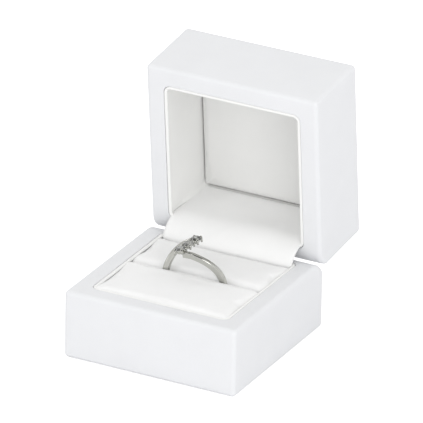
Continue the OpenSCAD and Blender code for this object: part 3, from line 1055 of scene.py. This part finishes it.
class GIFTBOX_OT_fittings(bpy.types.Operator):
    """Finishes of the moulded cores, cards, bottom sheet and hinge parts"""
    bl_idname = "giftbox.fittings"
    bl_label = "Cores, cards and hinge"

    def execute(self, context):
        finishes = {
            "moulded_core": leatherette("moulded_shell", (0.80, 0.80, 0.80), 3000.0),
            "card": card("backing_card", (0.70, 0.69, 0.67)),
            "base_paper": card("bottom_paper", (0.72, 0.72, 0.73)),
            "hinge_steel": metal("nickel_plate", (0.66, 0.65, 0.62), 0.22, 0.38, 0.2),
            "screw_steel": metal("turned_steel", (0.60, 0.60, 0.60), 0.18, 0.32, 0.1),
            "spring_steel": metal("sprung_steel", (0.42, 0.43, 0.45), 0.25, 0.4, 0.2),
        }
        slots = {row["node"]: row["material_slot"] for row in frame["record"]["subparts"]}
        for node, thing in frame["nodes"].items():
            finish = finishes.get(slots[node])
            if finish:
                thing.data.materials.clear()
                thing.data.materials.append(finish)
        return {"FINISHED"}


# ---- Stage ----

LAMP_AIM = (0, 0, 0.03)
LAMPS = [
    ("key", (0.6, -0.8, 0.32), (0.5, 0.4), 2.4),
    ("fill", (-0.45, -0.8, 0.35), (0.4, 0.4), 0.2),
    ("spark_0", (-0.3, -0.6, 0.7), (0.09, 0.09), 0.22),
    ("spark_1", (0.75, -0.3, 0.5), (0.09, 0.09), 0.22),
    ("spark_2", (-0.7, 0.1, 0.6), (0.09, 0.09), 0.22),
]
FLOOR_GLOW = 0.6
SKY_STRENGTH = 0.925
CAMERA_TURN, CAMERA_RISE, CAMERA_ROLL = 27.326, 24.664, 1.01
CAMERA_RIGHT, CAMERA_UP, CAMERA_DISTANCE = 0.00484, 0.01513, 2.3229
CAMERA_LENS = 680.9

def add_plane(name, size, place, material):
    work = bmesh.new()
    bmesh.ops.create_grid(work, x_segments=1, y_segments=1, size=size / 2)
    bmesh.ops.transform(work, matrix=place, verts=work.verts)
    mesh = bpy.data.meshes.new(name)
    work.to_mesh(mesh)
    work.free()
    plane = bpy.data.objects.new(name, mesh)
    bpy.context.scene.collection.objects.link(plane)
    mesh.materials.append(material)
    return plane


def add_light(name, where, size, power):
    lamp = bpy.data.lights.new(name, "AREA")
    lamp.shape = "RECTANGLE"
    lamp.size, lamp.size_y = size
    lamp.energy = power
    light = bpy.data.objects.new(name, lamp)
    light.location = where
    light.rotation_euler = (Vector(LAMP_AIM) - Vector(where)).to_track_quat("-Z", "Y").to_euler()
    bpy.context.scene.collection.objects.link(light)
    return light


class GIFTBOX_OT_stage(bpy.types.Operator):
    """Pale floor, soft light and the camera"""
    bl_idname = "giftbox.stage"
    bl_label = "Stage"

    def execute(self, context):
        scene = context.scene
        scene.view_settings.view_transform = "Standard"
        floor, shader = start_material("pale_floor", (0.86, 0.86, 0.87))
        shader.inputs["Roughness"].default_value = 0.7
        shader.inputs["Specular IOR Level"].default_value = 0.1
        shader.inputs["Emission Color"].default_value = (1, 1, 1, 1)
        seen = floor.node_tree.nodes.new("ShaderNodeLightPath")
        glow = floor.node_tree.nodes.new("ShaderNodeMath")
        glow.operation = "MULTIPLY"
        glow.inputs[1].default_value = FLOOR_GLOW
        floor.node_tree.links.new(seen.outputs["Is Camera Ray"], glow.inputs[0])
        floor.node_tree.links.new(glow.outputs[0], shader.inputs["Emission Strength"])
        add_plane("floor", 4, Matrix.Translation((0, 0, -0.00005)), floor)
        world = bpy.data.worlds.new("studio")
        world.use_nodes = True
        sky = world.node_tree.nodes["Background"]
        sky.inputs["Color"].default_value = (1, 1, 1, 1)
        sky.inputs["Strength"].default_value = SKY_STRENGTH
        scene.world = world
        for lamp in LAMPS:
            add_light(*lamp)
        dark, shade = start_material("dark_card", (0.02, 0.02, 0.02))
        shade.inputs["Roughness"].default_value = 0.9
        facing = Vector((0.1, -0.5, 0.8)).to_track_quat("Z", "Y").to_matrix().to_4x4()
        card_above = add_plane("dark_card", 1.5, Matrix.Translation((0.05, -0.45, 0.8)) @ facing, dark)
        card_above.visible_camera = False
        card_above.visible_diffuse = False
        card_above.visible_shadow = False
        card_above.visible_transmission = False

        turn, rise, roll = (math.radians(angle) for angle in (CAMERA_TURN, CAMERA_RISE, CAMERA_ROLL))
        back = Vector((math.sin(turn) * math.cos(rise), -math.cos(turn) * math.cos(rise), math.sin(rise)))
        right = (-back).cross(Vector((0, 0, 1))).normalized()
        up = right.cross(-back)
        right, up = (math.cos(roll) * right + math.sin(roll) * up, -math.sin(roll) * right + math.cos(roll) * up)
        aim = Vector((0, 0, 0.025)) + right * CAMERA_RIGHT + up * CAMERA_UP
        camera = bpy.data.objects.new("camera", bpy.data.cameras.new("camera"))
        camera.data.lens = CAMERA_LENS
        camera.data.sensor_width = 36
        camera.data.clip_start, camera.data.clip_end = 0.1, 20
        rotation = Matrix((right, up, back)).transposed()
        camera.matrix_world = Matrix.Translation(aim + back * CAMERA_DISTANCE) @ rotation.to_4x4()
        scene.collection.objects.link(camera)
        scene.camera = camera
        return {"FINISHED"}


# ---- Panel and registering ----

OPERATORS = (GIFTBOX_OT_stage, GIFTBOX_OT_coverings, GIFTBOX_OT_linings, GIFTBOX_OT_pads,
             GIFTBOX_OT_lid_padding, GIFTBOX_OT_hinge_strip, GIFTBOX_OT_ring_shank, GIFTBOX_OT_stones,
             GIFTBOX_OT_prongs, GIFTBOX_OT_fittings)
GROUPS = {"gift_box_shell": GiftBoxShell, "gift_box_pads": GiftBoxPads, "gift_box_ring": GiftBoxRing}


class GIFTBOX_PT_panel(bpy.types.Panel):
    """Lists the box's pieces and their sizes"""
    bl_label = "Gift Box"
    bl_idname = "GIFTBOX_PT_panel"
    bl_space_type = "VIEW_3D"
    bl_region_type = "UI"
    bl_category = "Gift Box"

    def draw(self, context):
        for name, group in GROUPS.items():
            for prop in group.__annotations__:
                self.layout.prop(getattr(context.scene, name), prop)
        for operator in OPERATORS:
            self.layout.operator(operator.bl_idname)


def register():
    for thing in (*GROUPS.values(), *OPERATORS, GIFTBOX_PT_panel):
        bpy.utils.register_class(thing)
    for name, group in GROUPS.items():
        setattr(bpy.types.Scene, name, bpy.props.PointerProperty(type=group))


def unregister():
    for name in GROUPS:
        delattr(bpy.types.Scene, name)
    for thing in (GIFTBOX_PT_panel, *reversed(OPERATORS), *GROUPS.values()):
        bpy.utils.unregister_class(thing)


def main():
    register()
    for operator in OPERATORS:
        prefix, name = operator.bl_idname.split(".")
        getattr(getattr(bpy.ops, prefix), name)()


if __name__ == "__main__":
    main()
